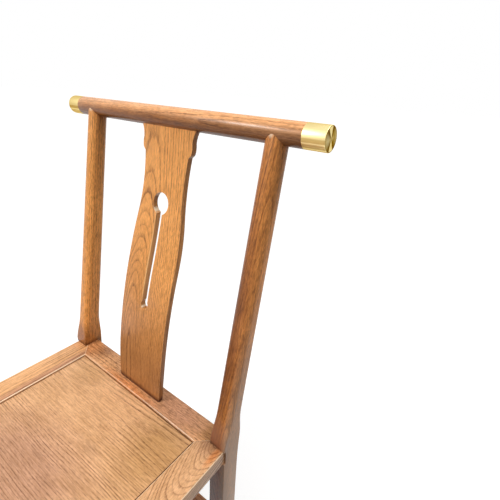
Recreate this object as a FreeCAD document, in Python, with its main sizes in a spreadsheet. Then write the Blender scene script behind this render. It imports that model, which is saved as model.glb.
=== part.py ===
import FreeCAD, Part
import math
import os
import Sketcher
from FreeCAD import Placement, Rotation, Vector

# An armless official hat chair in stained ash, with a straight crest rail capped in brass.
# Every piece is drawn from one datum: the middle of the seat's back edge, on the seat's top.
# X runs to the right seen from the front, Y backwards and Z up.

doc = FreeCAD.newDocument("official_hat_chair")

# Driving dimensions in millimetres, grouped by the pieces that own them.
DRIVING_SIZES = {
    # seat frame
    "seat_width": 450,
    "seat_depth": 430,
    "seat_top": 450,
    "frame_thickness": 31,
    "side_rail_width": 55,
    "back_rail_width": 49,
    "front_rail_width": 55,
    "outer_edge_round": 3,
    "lower_edge_round": 1.5,
    "inner_edge_round": 3.5,
    "mitre_tenon_length": 38,
    "mitre_tenon_width": 14,
    "mitre_tenon_thickness": 9,
    "mitre_tenon_margin": 4,
    "tenon_end_gap": 1,
    # seat panel and its battens
    "panel_sink": 3,
    "panel_thickness": 13.5,
    "panel_shadow_gap": 1.6,
    "panel_edge_round": 1,
    "tongue_drop": 4,
    "tongue_thickness": 5,
    "groove_depth": 8,
    "wood_movement_gap": 1,
    "batten_spacing": 170,
    "batten_width": 28,
    "batten_base_gap": 2,
    "batten_round": 2,
    "dovetail_depth": 4,
    "dovetail_neck": 14,
    "dovetail_head": 18,
    "batten_tenon_length": 13,
    "batten_tenon_width": 20,
    "batten_tenon_thickness": 8,
    # legs and posts
    "leg_width": 33.5,
    "rear_leg_depth": 38,
    "rear_leg_overhang": 5,
    "leg_side_overhang": 2.7,
    "leg_arris_round": 1.2,
    "leg_housing_depth": 4,
    "knee_reach": 80,
    "post_stop_rise": 10,
    "post_stop_length": 55,
    "post_foot_corner": 12,
    "post_head_corner": 16.6,
    "post_head_depth": 33.4,
    "post_tenon_diameter": 20,
    "post_tenon_root": 32,
    "post_tenon_rise": 5,
    "front_leg_depth": 33,
    "front_leg_setback": 2,
    "long_tenon_height": 22,
    "short_tenon_height": 13,
    "frame_tenon_side": 11,
    "frame_tenon_inset": 3,
    # crest rail and caps
    "crest_diameter": 34,
    "crest_bare_end": 26.3,
    "crest_rise": 514,
    "crest_setback": 80,
    "cap_length": 33,
    "cap_wall": 1.2,
    "cap_end_thickness": 2,
    "cap_edge_bevel": 0.8,
    "cap_glue_gap": 0.1,
    # back splat
    "splat_thickness": 10,
    "splat_front_setback": 33,
    "splat_bend_height": 265,
    "splat_bend_setback": 18,
    "splat_head_lead": 3.2,
    "splat_head_seat": 3,
    "splat_foot_tenon": 14,
    "splat_foot_shoulder": 6,
    "splat_head_tenon": 13,
    "splat_width": 123.6,
    "splat_foot_width": 118.6,
    "splat_waist_width": 101.2,
    "splat_cusp_width": 106.8,
    "splat_lobe_width": 117,
    "splat_neck_width": 118.2,
    "splat_head_width": 127,
    "splat_foot_rise": 90,
    "splat_taper_length": 138,
    "splat_waist_length": 46,
    "splat_cusp_rise": 4.5,
    "splat_lobe_length": 18,
    "splat_lobe_radius": 33,
    "splat_flare_length": 18.5,
    "splat_hole_diameter": 38.6,
    "splat_hole_drop": 125,
    "splat_slot_width": 14,
    "splat_slot_end_diameter": 18,
    "splat_slot_height": 186,
    "mortise_ease": 0.3,
    # lower rails
    "side_stretcher_top": 150,
    "side_stretcher_height": 30,
    "side_stretcher_thickness": 20,
    "side_stretcher_inset": 17.5,
    "back_stretcher_top": 209,
    "back_stretcher_height": 32,
    "back_stretcher_thickness": 22,
    "footrest_top": 96,
    "footrest_height": 24,
    "footrest_depth": 31,
    "stretcher_round": 4,
    "stretcher_tenon_length": 20,
    "stretcher_tenon_margin": 5,
    # front apron
    "apron_height": 38,
    "apron_thickness": 14,
    "apron_setback": 8,
    "apron_tenon_length": 10,
    "apron_tenon_thickness": 7,
    "spandrel_drop": 46,
    "spandrel_reach": 64,
    "spandrel_foot": 16,
    "spandrel_bead": 11,
    "spandrel_sweep": 40,
    # one overrun serves all cuts
    "cut_overrun": 5,
}

sheet = doc.addObject("Spreadsheet::Sheet", "sizes")
for row, (alias, millimetres) in enumerate(DRIVING_SIZES.items(), start=1):
    sheet.set(f"A{row}", alias.replace("_", " "))
    sheet.set(f"B{row}", str(millimetres))
    sheet.setAlias(f"B{row}", alias)
doc.recompute()


class Size:
    """A length of the chair, with the sheet formula that gives it."""

    def __init__(self, value, formula):
        self.value = value
        self.formula = formula

    def __add__(self, other):
        other = as_size(other)
        return Size(self.value + other.value, f"({self.formula} + {other.formula})")

    def __sub__(self, other):
        other = as_size(other)
        return Size(self.value - other.value, f"({self.formula} - {other.formula})")

    def __mul__(self, other):
        other = as_size(other)
        return Size(self.value * other.value, f"({self.formula} * {other.formula})")

    def __rmul__(self, other):
        return as_size(other) * self

    def __truediv__(self, other):
        other = as_size(other)
        return Size(self.value / other.value, f"({self.formula} / {other.formula})")

    def __neg__(self):
        return Size(-self.value, f"(0 - {self.formula})")


def as_size(number):
    return number if isinstance(number, Size) else Size(number, repr(number))


def root(size_squared):
    """The square root of a sum of products of sizes."""
    return Size(math.sqrt(size_squared.value), f"sqrt({size_squared.formula})")


def size(alias):
    """The named driving dimension, read back from the sheet."""
    return Size(float(sheet.get(alias)), f"sizes.{alias}")


ZERO = Size(0, "0")
end_gap = size("tenon_end_gap")
overrun = size("cut_overrun")


def new_body(label):
    """An empty piece whose drawing datum stands at the back edge of the seat."""
    body = doc.addObject("PartDesign::Body", label)
    body.Label = label
    body.setExpression("Placement.Base.y", datum_back.formula)
    body.setExpression("Placement.Base.z", datum_height.formula)
    return body


def new_sketch(body, label, role, lift=ZERO, across=ZERO, along=ZERO, axis=None, turn=None):
    """A sketch on one of the piece's own planes, lifted off it, shifted in it and turned."""
    sketch = body.newObject("Sketcher::SketchObject", f"{body.Name}_{label}")
    plane = next(feature for feature in body.Origin.OriginFeatures if feature.Role == role)
    sketch.AttachmentSupport = (plane, [""])
    sketch.MapMode = "FlatFace"
    rotation = Rotation(axis, math.degrees(math.atan(turn.value))) if axis else Rotation()
    sketch.AttachmentOffset = Placement(Vector(across.value, along.value, lift.value), rotation)
    sketch.setExpression("AttachmentOffset.Base.x", across.formula)
    sketch.setExpression("AttachmentOffset.Base.y", along.formula)
    sketch.setExpression("AttachmentOffset.Base.z", lift.formula)
    if axis:
        sketch.setExpression("AttachmentOffset.Rotation.Angle", f"atan({turn.formula})")
    return sketch


def hold(sketch, constraint, formula):
    """Add one constraint and tie its value to the sheet."""
    index = sketch.addConstraint(constraint)
    sketch.setExpression(f"Constraints[{index}]", formula)


def hold_point(sketch, edge, end, across, along):
    """Pin one end of an edge at its place in the sketch."""
    hold(sketch, Sketcher.Constraint("DistanceX", -1, 1, edge, end, across.value), across.formula)
    hold(sketch, Sketcher.Constraint("DistanceY", -1, 1, edge, end, along.value), along.formula)


def arc_edge(start, finish, radius, side):
    """An arc of under half a circle, with its centre left (1) or right (-1) of its run."""
    chord = finish - start
    across = Vector(-chord.y, chord.x, 0).normalize() * side
    centre = start + chord / 2 + across * math.sqrt(radius**2 - (chord.Length / 2) ** 2)
    angles = [math.atan2(point.y - centre.y, point.x - centre.x) for point in (start, finish)]
    return Part.ArcOfCircle(Part.Circle(centre, Vector(0, 0, 1), radius), *angles[::side])


def draw_outline(sketch, corners, arcs=None):
    """Draw a closed outline; arcs gives some edges, by number, a radius and a centre's side."""
    arcs = arcs or {}
    first = len(sketch.Geometry)
    points = [Vector(across.value, along.value, 0) for across, along in corners]
    starts, finishes = [], []
    for number, start in enumerate(points):
        finish = points[(number + 1) % len(points)]
        radius, side = arcs.get(number, (None, 1))
        if radius:
            sketch.addGeometry(arc_edge(start, finish, radius.value, side))
        else:
            sketch.addGeometry(Part.LineSegment(start, finish))
        starts.append(1 if side == 1 else 2)
        finishes.append(2 if side == 1 else 1)
    for number, corner in enumerate(corners):
        following = (number + 1) % len(corners)
        sketch.addConstraint(
            Sketcher.Constraint(
                "Coincident", first + number, finishes[number], first + following, starts[following]
            )
        )
        hold_point(sketch, first + number, starts[number], *corner)
    for number, (radius, side) in arcs.items():
        hold(sketch, Sketcher.Constraint("Radius", first + number, radius.value), radius.formula)


def draw_circle(sketch, across, along, radius):
    circle = sketch.addGeometry(
        Part.Circle(Vector(across.value, along.value, 0), Vector(0, 0, 1), radius.value)
    )
    hold_point(sketch, circle, 3, across, along)
    hold(sketch, Sketcher.Constraint("Radius", circle, radius.value), radius.formula)


def pad(body, label, sketch, length, backwards=False):
    """Raise material from a sketch along its normal, or against it."""
    feature = body.newObject("PartDesign::Pad", f"{body.Name}_{label}")
    feature.Profile = sketch
    feature.setExpression("Length", length.formula)
    feature.Reversed = backwards
    doc.recompute()


def pocket(body, label, sketch, length, backwards=False):
    """Cut a sketch away against its normal, or along it, and make sure that it cuts."""
    volume = body.Shape.Volume
    feature = body.newObject("PartDesign::Pocket", f"{body.Name}_{label}")
    feature.Profile = sketch
    feature.setExpression("Length", length.formula)
    feature.Reversed = backwards
    doc.recompute()
    if body.Shape.Volume >= volume:
        raise RuntimeError(f"{label} cuts nothing from {body.Label}")


def revolve(body, kind, label, sketch, axis):
    """Turn a sketch all the way round one of its own axes, as a Revolution or a Groove."""
    feature = body.newObject(f"PartDesign::{kind}", f"{body.Name}_{label}")
    feature.Profile = sketch
    feature.ReferenceAxis = (sketch, [axis])
    feature.Angle = 360
    doc.recompute()


def plan_corners(span_x, span_y):
    return [
        (span_x[0], span_y[0]),
        (span_x[1], span_y[0]),
        (span_x[1], span_y[1]),
        (span_x[0], span_y[1]),
    ]


def pad_plan(body, label, corners, span_z):
    """Raise an outline seen from above between two levels."""
    sketch = new_sketch(body, f"{label}_plan", "XY_Plane", span_z[0])
    draw_outline(sketch, corners)
    pad(body, label, sketch, span_z[1] - span_z[0])


def cut_plan(body, label, corners, span_z):
    """Cut an outline seen from above away between two levels."""
    sketch = new_sketch(body, f"{label}_plan", "XY_Plane", span_z[1])
    draw_outline(sketch, corners)
    pocket(body, label, sketch, span_z[1] - span_z[0])


def add_block(body, label, span_x, span_y, span_z):
    """Add a square-edged block, such as a tenon, between six planes."""
    pad_plan(body, label, plan_corners(span_x, span_y), span_z)


def cut_block(body, label, span_x, span_y, span_z):
    """Cut a square-edged pocket, such as a mortise, between six planes."""
    cut_plan(body, label, plan_corners(span_x, span_y), span_z)


def round_edges(body, label, radius, wanted):
    """Round the edges of the piece for which wanted(edge) is true."""
    base = body.Tip
    edges = enumerate(base.Shape.Edges, start=1)
    names = [f"Edge{number}" for number, edge in edges if wanted(edge)]
    if not names:
        raise RuntimeError(f"{label} finds no edge on {body.Label}")
    fillet = body.newObject("PartDesign::Fillet", f"{body.Name}_{label}")
    fillet.Base = (base, names)
    fillet.setExpression("Radius", radius.formula)
    doc.recompute()


# How far two computed places may differ, as a share of the seat's width.
SAME_PLACE_SHARE = 1e-7


def edge_points(edge):
    middle = (edge.FirstParameter + edge.LastParameter) / 2
    return [vertex.Point for vertex in edge.Vertexes] + [edge.valueAt(middle)]


def lies_on(edge, axis, place):
    """True where an edge keeps to one place along an axis."""
    near = size("seat_width").value * SAME_PLACE_SHARE
    return all(abs(getattr(point, axis) - place.value) < near for point in edge_points(edge))


def runs_along(edge, axis):
    """True for a straight edge that runs along the named axis."""
    if edge.Curve.TypeId != "Part::GeomLine":
        return False
    return abs(abs(getattr(edge.Curve.Direction, axis)) - 1) < SAME_PLACE_SHARE


def span_about(centre, width):
    return (centre - width / 2, centre + width / 2)


def grow(span, margin):
    return (span[0] - margin, span[1] + margin)


def other_side(span):
    return (-span[1], -span[0])


def mirror_piece(piece, label):
    """The same piece made the other hand, for the chair's other side."""
    copy = doc.addObject("Part::Mirroring", label)
    copy.Label = label
    copy.Source = piece
    copy.Normal = Vector(1, 0, 0)
    return copy


# Planes and lines that several pieces share, measured from the datum.
half_seat = size("seat_width") / 2
seat_front = -size("seat_depth")
frame_under = -size("frame_thickness")
floor_level = -size("seat_top")
opening_side = half_seat - size("side_rail_width")
opening_back = -size("back_rail_width")
opening_front = seat_front + size("front_rail_width")
frame_levels = (frame_under, ZERO)

leg_outer = half_seat + size("leg_side_overhang")
leg_inner = leg_outer - size("leg_width")
leg_middle = leg_outer - size("leg_width") / 2
rear_leg_back = size("rear_leg_overhang")
rear_leg_front = rear_leg_back - size("rear_leg_depth")
rear_leg_middle = rear_leg_back - size("rear_leg_depth") / 2
stop_foot = size("post_stop_rise")
stop_top = stop_foot + size("post_stop_length")
knee_foot = stop_foot - size("knee_reach")
knee_top = stop_foot + size("knee_reach")
notch_side = leg_inner + size("leg_housing_depth")
notch_front = rear_leg_front + size("leg_housing_depth")

front_leg_outer = half_seat - size("front_leg_setback")
front_leg_inner = front_leg_outer - size("leg_width")
front_leg_front = seat_front + size("front_leg_setback")
front_leg_back = front_leg_front + size("front_leg_depth")

crest_radius = size("crest_diameter") / 2
crest_underside = size("crest_rise") - crest_radius
post_head_front = size("crest_setback") - size("post_head_depth") / 2
post_head_back = size("crest_setback") + size("post_head_depth") / 2
post_rise = size("crest_rise") - stop_foot
post_front_lean = (post_head_front - rear_leg_front) / post_rise
post_back_lean = (post_head_back - rear_leg_back) / post_rise
post_lean = (post_front_lean + post_back_lean) / 2

# Where the datum stands in the chair's own frame, whose origin is the bottom centre of its box.
datum_back = (size("seat_depth") - size("crest_setback") - crest_radius) / 2
datum_height = size("seat_top")

# Seat frame: four rails mitred at the corners and grooved round the inside for the panel.
groove_top = -(size("panel_sink") + size("tongue_drop"))
groove_levels = (groove_top - size("tongue_thickness"), groove_top)
groove_x = (-(opening_side + size("groove_depth")), opening_side + size("groove_depth"))
groove_y = (opening_front - size("groove_depth"), opening_back + size("groove_depth"))
mitre_slope = size("back_rail_width") / size("side_rail_width")
mitre_at_notch = opening_back + (notch_side - opening_side) * mitre_slope

# The mitre tenons sit under the groove, one at each end of the front and back rails.
mitre_tenon_base = frame_under + size("mitre_tenon_margin")
mitre_tenon_levels = (mitre_tenon_base, mitre_tenon_base + size("mitre_tenon_thickness"))
mitre_tenon_x = (
    opening_side - size("mitre_tenon_margin"),
    opening_side + size("mitre_tenon_length"),
)
back_tenon_start = opening_back + size("mitre_tenon_margin")
back_tenon_y = (back_tenon_start, back_tenon_start + size("mitre_tenon_width"))
front_tenon_start = opening_front - size("mitre_tenon_margin")
front_tenon_y = (front_tenon_start - size("mitre_tenon_width"), front_tenon_start)

# Each front leg has a long tenon in the front rail and a short one in the side rail.
long_tenon_corner = (
    front_leg_inner + size("frame_tenon_inset"),
    front_leg_front + size("frame_tenon_inset"),
)
long_tenon_x = (long_tenon_corner[0], long_tenon_corner[0] + size("frame_tenon_side"))
long_tenon_y = (long_tenon_corner[1], long_tenon_corner[1] + size("frame_tenon_side"))
short_tenon_corner = (
    front_leg_outer - size("frame_tenon_inset"),
    front_leg_back - size("frame_tenon_inset"),
)
short_tenon_x = (short_tenon_corner[0] - size("frame_tenon_side"), short_tenon_corner[0])
short_tenon_y = (short_tenon_corner[1] - size("frame_tenon_side"), short_tenon_corner[1])

# The battens lie under the panel, dovetailed into it, with tenons in the front and back rails.
panel_top = -size("panel_sink")
panel_under = panel_top - size("panel_thickness")
batten_base = frame_under + size("batten_base_gap")
batten_centre = size("batten_spacing") / 2
batten_tenon_x = span_about(batten_centre, size("batten_tenon_width"))
batten_tenon_y = (
    opening_front - size("batten_tenon_length"),
    opening_back + size("batten_tenon_length"),
)
batten_tenon_base = batten_base + size("batten_round")
batten_tenon_levels = (batten_tenon_base, batten_tenon_base + size("batten_tenon_thickness"))


def round_frame_rail(rail, straight, across, outer, inner):
    """Round a rail's outer top edge, lower edge and panel edge, which run along one axis."""
    for label, radius, place, level in (
        ("outer_round", size("outer_edge_round"), outer, ZERO),
        ("lower_round", size("lower_edge_round"), outer, frame_under),
        ("inner_round", size("inner_edge_round"), inner, ZERO),
    ):
        round_edges(
            rail, label, radius,
            lambda edge: runs_along(edge, straight)
            and lies_on(edge, across, place)
            and lies_on(edge, "z", level),
        )


def finish_cross_rail(rail, tenon_y, batten_mortise_y):
    """Give the front or back rail its mitre tenons, groove and batten mortises."""
    add_block(rail, "right_tenon", mitre_tenon_x, tenon_y, mitre_tenon_levels)
    add_block(rail, "left_tenon", other_side(mitre_tenon_x), tenon_y, mitre_tenon_levels)
    cut_block(rail, "groove", groove_x, groove_y, groove_levels)
    for side, span_x in (("right", batten_tenon_x), ("left", other_side(batten_tenon_x))):
        cut_block(rail, f"{side}_batten_mortise", span_x, batten_mortise_y, batten_tenon_levels)


def make_seat_rail_back():
    """Back rail: mitred, notched for the rear legs, mortised on top for the splat."""
    rail = new_body("seat_rail_back")
    right_end = [
        (opening_side, opening_back),
        (notch_side, mitre_at_notch),
        (notch_side, ZERO),
    ]
    left_end = [(-across, along) for across, along in reversed(right_end)]
    pad_plan(rail, "plank", right_end + left_end, frame_levels)
    round_frame_rail(rail, "x", "y", ZERO, opening_back)
    finish_cross_rail(rail, back_tenon_y, (opening_back - overrun, batten_tenon_y[1] + end_gap))
    splat_mortise_levels = (-size("splat_foot_tenon") - end_gap, ZERO)
    cut_block(rail, "splat_mortise", splat_foot_x, splat_foot_y, splat_mortise_levels)
    return rail


def make_seat_rail_front():
    """Front rail: mitred and grooved, with mortises beneath for the front legs."""
    rail = new_body("seat_rail_front")
    plank = [
        (-half_seat, seat_front),
        (half_seat, seat_front),
        (opening_side, opening_front),
        (-opening_side, opening_front),
    ]
    pad_plan(rail, "plank", plank, frame_levels)
    round_frame_rail(rail, "x", "y", seat_front, opening_front)
    finish_cross_rail(rail, front_tenon_y, (batten_tenon_y[0] - end_gap, opening_front + overrun))
    leg_mortise_levels = (frame_under, frame_under + size("long_tenon_height") + end_gap)
    for side, span_x in (("right", long_tenon_x), ("left", other_side(long_tenon_x))):
        cut_block(rail, f"{side}_leg_mortise", span_x, long_tenon_y, leg_mortise_levels)
    return rail


def make_seat_rail_right():
    """Side rail: mitred at both ends and cut back for the rear leg's housing."""
    rail = new_body("seat_rail_right")
    plank = [
        (half_seat, seat_front),
        (half_seat, notch_front),
        (notch_side, notch_front),
        (notch_side, mitre_at_notch),
        (opening_side, opening_back),
        (opening_side, opening_front),
    ]
    pad_plan(rail, "plank", plank, frame_levels)
    round_frame_rail(rail, "y", "x", half_seat, opening_side)
    cut_block(rail, "groove", groove_x, groove_y, groove_levels)
    mortise_x = (opening_side - overrun, mitre_tenon_x[1] + end_gap)
    cut_block(rail, "back_mortise", mortise_x, back_tenon_y, mitre_tenon_levels)
    cut_block(rail, "front_mortise", mortise_x, front_tenon_y, mitre_tenon_levels)
    leg_mortise_levels = (frame_under, frame_under + size("short_tenon_height") + end_gap)
    cut_block(rail, "leg_mortise", short_tenon_x, short_tenon_y, leg_mortise_levels)
    return rail


def dovetail_corners(centre):
    """The dovetail between panel and batten, from the panel's underside upwards."""
    neck = size("dovetail_neck") / 2
    head = size("dovetail_head") / 2
    top = panel_under + size("dovetail_depth")
    return [
        (centre + neck, panel_under),
        (centre + head, top),
        (centre - head, top),
        (centre - neck, panel_under),
    ]


def make_seat_panel():
    """Floating panel: a raised field, a tongue all round and two dovetail housings beneath."""
    panel = new_body("seat_panel")
    gap = size("panel_shadow_gap")
    field_x = (-(opening_side - gap), opening_side - gap)
    field_y = (opening_front + gap, opening_back - gap)
    add_block(panel, "field", field_x, field_y, (panel_under, panel_top))
    round_edges(
        panel, "field_round", size("panel_edge_round"),
        lambda edge: lies_on(edge, "z", panel_top),
    )
    play = size("wood_movement_gap")
    add_block(panel, "tongue", grow(groove_x, -play), grow(groove_y, -play), groove_levels)
    for side, centre in (("right", batten_centre), ("left", -batten_centre)):
        section = new_sketch(panel, f"{side}_housing_section", "XZ_Plane", -opening_back)
        draw_outline(section, dovetail_corners(centre))
        pocket(panel, f"{side}_housing", section, opening_back - opening_front, backwards=True)
    return panel


def make_seat_batten_right():
    """Batten under the panel: a dovetail along its top and a tenon at each end."""
    batten = new_body("seat_batten_right")
    side_x = span_about(batten_centre, size("batten_width"))
    outline = [
        (side_x[0], batten_base),
        (side_x[1], batten_base),
        (side_x[1], panel_under),
        *dovetail_corners(batten_centre),
        (side_x[0], panel_under),
    ]
    section = new_sketch(batten, "section", "XZ_Plane", -opening_back)
    draw_outline(section, outline)
    pad(batten, "bar", section, opening_back - opening_front)
    round_edges(
        batten, "lower_round", size("batten_round"),
        lambda edge: runs_along(edge, "y") and lies_on(edge, "z", batten_base),
    )
    add_block(batten, "tenons", batten_tenon_x, batten_tenon_y, batten_tenon_levels)
    return batten


# Lower rails: the back one stands highest, the footrest lowest.
def rail_levels(name):
    top = floor_level + size(f"{name}_top")
    return (top - size(f"{name}_height"), top)


side_stretcher_levels = rail_levels("side_stretcher")
back_stretcher_levels = rail_levels("back_stretcher")
footrest_levels = rail_levels("footrest")
side_stretcher_x = span_about(
    half_seat - size("side_stretcher_inset"), size("side_stretcher_thickness")
)
back_stretcher_y = span_about(rear_leg_middle, size("back_stretcher_thickness"))
footrest_y = span_about(
    front_leg_front + size("front_leg_depth") / 2, size("footrest_depth")
)


def tenon_span(span):
    """A lower rail's tenon is its section less a shoulder all round."""
    return grow(span, -size("stretcher_tenon_margin"))


def make_lower_rail(label, axis, span_x, span_y, span_z):
    """A rail between two legs: rounded along its length, with a tenon at both ends."""
    rail = new_body(label)
    add_block(rail, "bar", span_x, span_y, span_z)
    round_edges(rail, "long_round", size("stretcher_round"), lambda edge: runs_along(edge, axis))
    tenon_x, tenon_y = tenon_span(span_x), tenon_span(span_y)
    if axis == "x":
        tenon_x = grow(span_x, size("stretcher_tenon_length"))
    else:
        tenon_y = grow(span_y, size("stretcher_tenon_length"))
    add_block(rail, "tenons", tenon_x, tenon_y, tenon_span(span_z))
    return rail


def cut_cross_mortise(leg, label, inner_face, span_y, span_z):
    """Mortise in a leg's inner face for a rail that runs from side to side."""
    mortise_x = (inner_face - overrun, inner_face + size("stretcher_tenon_length") + end_gap)
    cut_block(leg, label, mortise_x, tenon_span(span_y), tenon_span(span_z))


# Front apron: a board under the front rail with a curved spandrel down each leg.
apron_front_face = front_leg_front + size("apron_setback")
apron_back_face = apron_front_face + size("apron_thickness")
apron_low = frame_under - size("apron_height")
spandrel_low = apron_low - size("spandrel_drop")
apron_tenon_y = span_about(
    apron_front_face + size("apron_thickness") / 2, size("apron_tenon_thickness")
)
apron_tenon_levels = (
    spandrel_low + size("spandrel_drop") / 2,
    frame_under - size("apron_height") / 2,
)


def both_sides(right_side, right_arcs):
    """Complete an outline, given upwards on the right, with its mirrored left side."""
    left_side = [(-across, along) for across, along in reversed(right_side)]
    last_edge = len(right_side) * 2 - 2
    arcs = dict(right_arcs)
    arcs.update({last_edge - number: arc for number, arc in right_arcs.items()})
    return right_side + left_side, arcs


def make_apron_front():
    """Front apron, drawn from the front, with a tenon into each front leg."""
    apron = new_body("apron_front")
    bead = size("spandrel_bead")
    foot = front_leg_inner - size("spandrel_foot")
    run_out = front_leg_inner - size("spandrel_reach")
    right_side = [
        (run_out, apron_low),
        (run_out + bead, apron_low - bead),
        (foot, spandrel_low),
        (front_leg_inner, spandrel_low),
        (front_leg_inner, frame_under),
    ]
    right_arcs = {0: (bead, 1), 1: (size("spandrel_sweep"), -1)}
    front_view = new_sketch(apron, "front_view", "XZ_Plane", -apron_back_face)
    draw_outline(front_view, *both_sides(right_side, right_arcs))
    pad(apron, "board", front_view, size("apron_thickness"))
    tenon_x = (foot, front_leg_inner + size("apron_tenon_length"))
    for side, span_x in (("right", tenon_x), ("left", other_side(tenon_x))):
        add_block(apron, f"{side}_tenon", span_x, apron_tenon_y, apron_tenon_levels)
    return apron


def make_front_leg_right():
    """Front leg: square, with two tenons into the seat frame above."""
    leg = new_body("front_leg_right")
    leg_x = (front_leg_inner, front_leg_outer)
    leg_y = (front_leg_front, front_leg_back)
    add_block(leg, "stick", leg_x, leg_y, (floor_level, frame_under))
    round_edges(leg, "arris", size("leg_arris_round"), lambda edge: runs_along(edge, "z"))
    long_levels = (frame_under, frame_under + size("long_tenon_height"))
    short_levels = (frame_under, frame_under + size("short_tenon_height"))
    add_block(leg, "long_tenon", long_tenon_x, long_tenon_y, long_levels)
    add_block(leg, "short_tenon", short_tenon_x, short_tenon_y, short_levels)
    cut_cross_mortise(leg, "footrest_mortise", front_leg_inner, footrest_y, footrest_levels)
    mortise_y = (
        front_leg_back - size("stretcher_tenon_length") - end_gap,
        front_leg_back + overrun,
    )
    cut_block(
        leg, "stretcher_mortise",
        tenon_span(side_stretcher_x), mortise_y, tenon_span(side_stretcher_levels),
    )
    apron_x = (front_leg_inner - overrun, front_leg_inner + size("apron_tenon_length") + end_gap)
    cut_block(leg, "apron_mortise", apron_x, apron_tenon_y, apron_tenon_levels)
    return leg


def sketch_across_post(body, label, leg_x):
    """A sketch square across the leaning post, on its axis and below the crest rail."""
    drop = size("post_tenon_root")
    height = size("crest_rise") - drop
    back = size("crest_setback") - drop * post_lean
    leaning = Vector(-1, 0, 0)
    return new_sketch(body, label, "XY_Plane", height, leg_x, back, leaning, post_lean)


# Levels of the plans through the knee below the stops, as shares of its reach, and of those
# through the stops, as shares of their length.
KNEE_SHARES = (1, 0.7, 0.35)
STOP_SHARES = (0, 0.2, 0.4, 0.6, 0.8, 1)

# The round tenon runs from its root in the post to a little above the crest rail's axis.
post_tenon_radius = size("post_tenon_diameter") / 2
post_tenon_length = size("post_tenon_root") * root(post_lean * post_lean + 1) + size(
    "post_tenon_rise"
)


def post_front(height):
    """The front face, which leans back from the foot of the stops."""
    return rear_leg_front + post_front_lean * (height - stop_foot)


def post_back(height):
    """The straight back face, which leans from the same height as the front."""
    return rear_leg_back + post_back_lean * (height - stop_foot)


def knee_back(height):
    """The back face through the knee, which curves out of the upright and into the lean."""
    climb = height - knee_foot
    return rear_leg_back + post_back_lean * climb * climb / (size("knee_reach") * 4)


def stop_corner(share):
    """Corner radius along the stops, easing from the leg's arris into the post's foot."""
    arris = size("leg_arris_round")
    eased_share = share * share * (3 - share * 2)
    return arris + (size("post_foot_corner") - arris) * eased_share


def leg_plan(leg, label, height, front, back, corner):
    """The leg cut level at a height: a rectangle with rounded corners."""
    inner, outer = leg_inner, leg_outer
    outline = [
        (inner + corner, front),
        (outer - corner, front),
        (outer, front + corner),
        (outer, back - corner),
        (outer - corner, back),
        (inner + corner, back),
        (inner, back - corner),
        (inner, front + corner),
    ]
    plan = new_sketch(leg, f"{label}_plan", "XY_Plane", height)
    draw_outline(plan, outline, {edge: (corner, 1) for edge in (1, 3, 5, 7)})
    return plan


def make_rear_leg_right():
    """Rear leg and post in one stick: square below, bent at the seat, rounded away above."""
    leg = new_body("rear_leg_right")
    arris = size("leg_arris_round")
    foot = leg_plan(leg, "foot", floor_level, rear_leg_front, rear_leg_back, arris)
    pad(leg, "upright_stick", foot, knee_foot - floor_level)
    plans = []
    for number, share in enumerate(KNEE_SHARES):
        height = stop_foot - size("knee_reach") * share
        plans.append(
            leg_plan(leg, f"knee_{number}", height, rear_leg_front, knee_back(height), arris)
        )

    # Above the seat each corner rounds away from a pointed stop, ever more towards the head.
    for number, share in enumerate(STOP_SHARES):
        height = stop_foot + size("post_stop_length") * share
        front, back = post_front(height), knee_back(height)
        plans.append(leg_plan(leg, f"stop_{number}", height, front, back, stop_corner(share)))
    neck = crest_underside - overrun
    corner_gain = size("post_head_corner") - size("post_foot_corner")
    for label, height in (("knee_top", knee_top), ("neck", neck), ("head", size("crest_rise"))):
        run = (height - stop_top) / (size("crest_rise") - stop_top)
        corner = size("post_foot_corner") + corner_gain * run
        plans.append(leg_plan(leg, label, height, post_front(height), post_back(height), corner))
    shaped_post = leg.newObject("PartDesign::AdditiveLoft", f"{leg.Name}_shaped_post")
    shaped_post.Profile = plans[0]
    shaped_post.Sections = plans[1:]
    shaped_post.Ruled = True
    doc.recompute()

    # The post's end is coped to the crest rail and carries a round tenon.
    cope = new_sketch(leg, "cope", "YZ_Plane", leg_inner - overrun)
    draw_circle(cope, size("crest_setback"), size("crest_rise"), crest_radius)
    pocket(leg, "coped_end", cope, size("leg_width") + overrun * 2, backwards=True)
    tenon = sketch_across_post(leg, "tenon_circle", leg_middle)
    draw_circle(tenon, ZERO, ZERO, post_tenon_radius)
    pad(leg, "tenon", tenon, post_tenon_length)

    # The corner of the seat frame is housed in the leg's inner and front faces.
    housing = [
        (leg_inner - overrun, rear_leg_front - overrun),
        (leg_outer + overrun, rear_leg_front - overrun),
        (leg_outer + overrun, notch_front),
        (notch_side, notch_front),
        (notch_side, ZERO),
        (leg_inner - overrun, ZERO),
    ]
    cut_plan(leg, "frame_housing", housing, frame_levels)
    cut_cross_mortise(leg, "back_mortise", leg_inner, back_stretcher_y, back_stretcher_levels)
    mortise_y = (
        rear_leg_front - overrun,
        rear_leg_front + size("stretcher_tenon_length") + end_gap,
    )
    cut_block(
        leg, "stretcher_mortise",
        tenon_span(side_stretcher_x), mortise_y, tenon_span(side_stretcher_levels),
    )
    return leg


# Crest rail: a plain round bar whose turned-down ends carry the brass caps.
cap_mouth = leg_outer + size("crest_bare_end")
crest_end = cap_mouth + size("cap_length")
cap_bore_radius = crest_radius - size("cap_wall")
cap_bore_end = crest_end - size("cap_end_thickness")


def turning_sketch(body, label):
    """A sketch whose horizontal axis is the crest rail's own axis."""
    return new_sketch(
        body, label, "XZ_Plane", -size("crest_setback"), ZERO, size("crest_rise")
    )


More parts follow.
